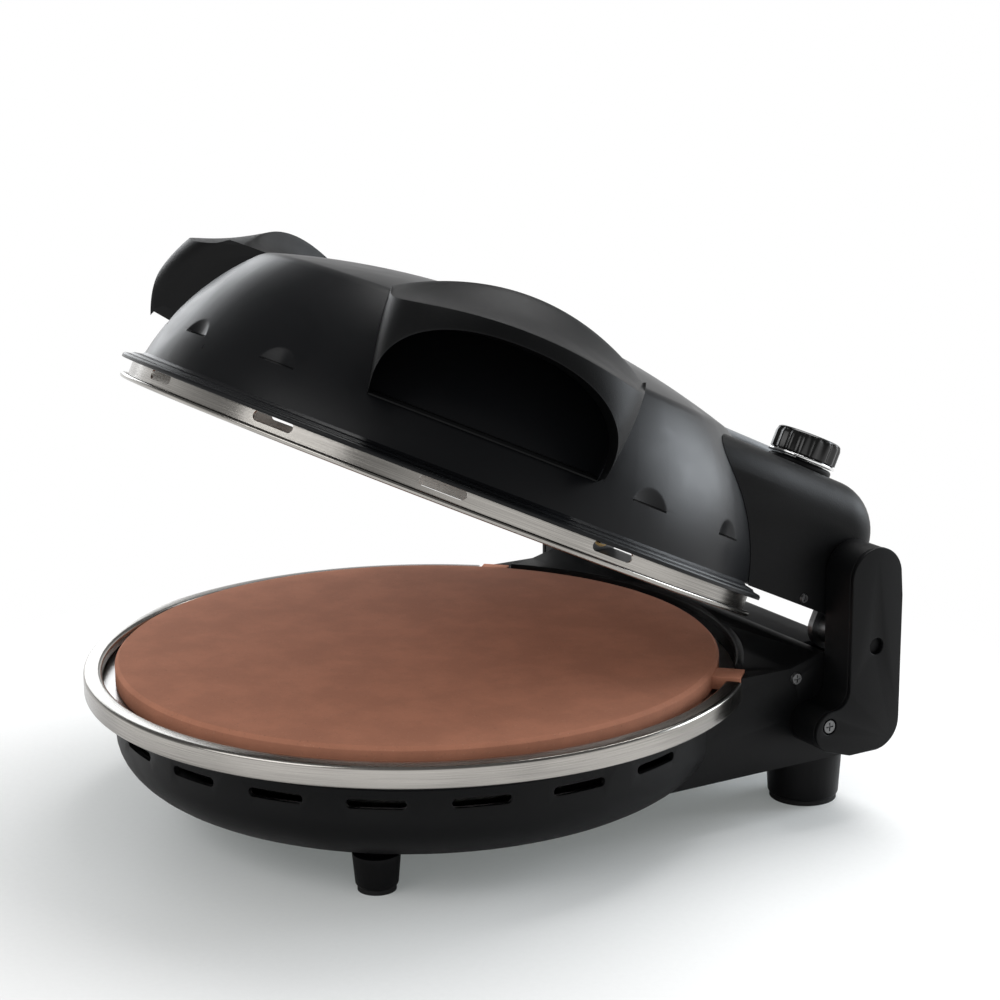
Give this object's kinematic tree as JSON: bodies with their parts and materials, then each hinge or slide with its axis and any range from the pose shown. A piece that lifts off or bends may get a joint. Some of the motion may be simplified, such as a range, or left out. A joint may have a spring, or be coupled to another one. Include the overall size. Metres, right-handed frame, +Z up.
{
  "type": "electric pizza maker",
  "caption": "Round countertop pizza oven with a baking stone in a steel-rimmed base and a domed lid with two hooded grips, hinged between rear arms.",
  "frame": {"origin": "middle of the footprint at table height, with the lid open as in the picture", "axes": "+Z up, +Y towards the hinge at the back, +X to the right as seen from the front"},
  "size_m": [0.3848, 0.4009, 0.3081],
  "materials": {
    "black_plastic": "fine moulded texture, satin",
    "dome_paint": "satin black enamel",
    "stainless": "brushed round the ring",
    "fired_clay": "unglazed terracotta",
    "reflector": "bright, slightly dull",
    "element_sheath": "dark heat-stained tube",
    "ceramic": "glazed cream ceramic",
    "rubber": "matt",
    "bronze": "plain turned",
    "zinc_steel": "zinc plated",
    "knob_black": "glossy",
    "chrome_trim": "bright",
    "grey_panel": "satin grey",
    "lens_red": "clear red moulding"
  },
  "bodies": {
    "base": {"base_shell": "black_plastic", "trim_ring": "stainless", "baking_stone": "fired_clay", "lower_reflector": "reflector", "lower_element": "element_sheath", "lower_clips": "zinc_steel", "lower_terminals": "ceramic", "base_cover": "black_plastic", "base_cover_screws": "zinc_steel", "front_feet": "black_plastic", "rear_feet": "black_plastic", "foot_pads": "rubber", "arm_left": "black_plastic", "arm_right": "black_plastic", "arm_cover_left": "black_plastic", "arm_cover_right": "black_plastic", "hinge_bolts": "zinc_steel", "toe_screws": "zinc_steel", "case_screws": "zinc_steel", "cord_gland": "rubber"},
    "lid": {"lid_dome": "dome_paint", "lid_ring": "stainless", "lid_reflector": "reflector", "upper_element": "element_sheath", "upper_clips": "zinc_steel", "grip_left": "black_plastic", "grip_right": "black_plastic", "rear_housing": "black_plastic", "housing_base": "black_plastic", "housing_screws": "zinc_steel", "hinge_bracket_left": "zinc_steel", "hinge_bracket_right": "zinc_steel", "hinge_bushes": "bronze", "control_panel": "grey_panel", "pilot_lens": "lens_red", "pilot_lamp": "ceramic", "thermostat": "ceramic", "knob_collar": "black_plastic", "upper_terminals": "ceramic"},
    "knob": {"control_knob": "knob_black", "knob_skirt_ring": "chrome_trim", "thermostat_shaft": "zinc_steel"}
  },
  "joints": [
    {"name": "lid_hinge", "type": "hinge", "parent": "base", "child": "lid", "pos_m": [0, 0.17552, 0.097], "axis": [-1, 0, 0], "range_deg": [-25, 70]},
    {"name": "knob_turn", "type": "hinge", "parent": "lid", "child": "knob", "pos_m": [0.09, 0.17434, 0.18913], "axis": [0, 0.4226, 0.9063], "range_deg": [0, 270]}
  ]
}
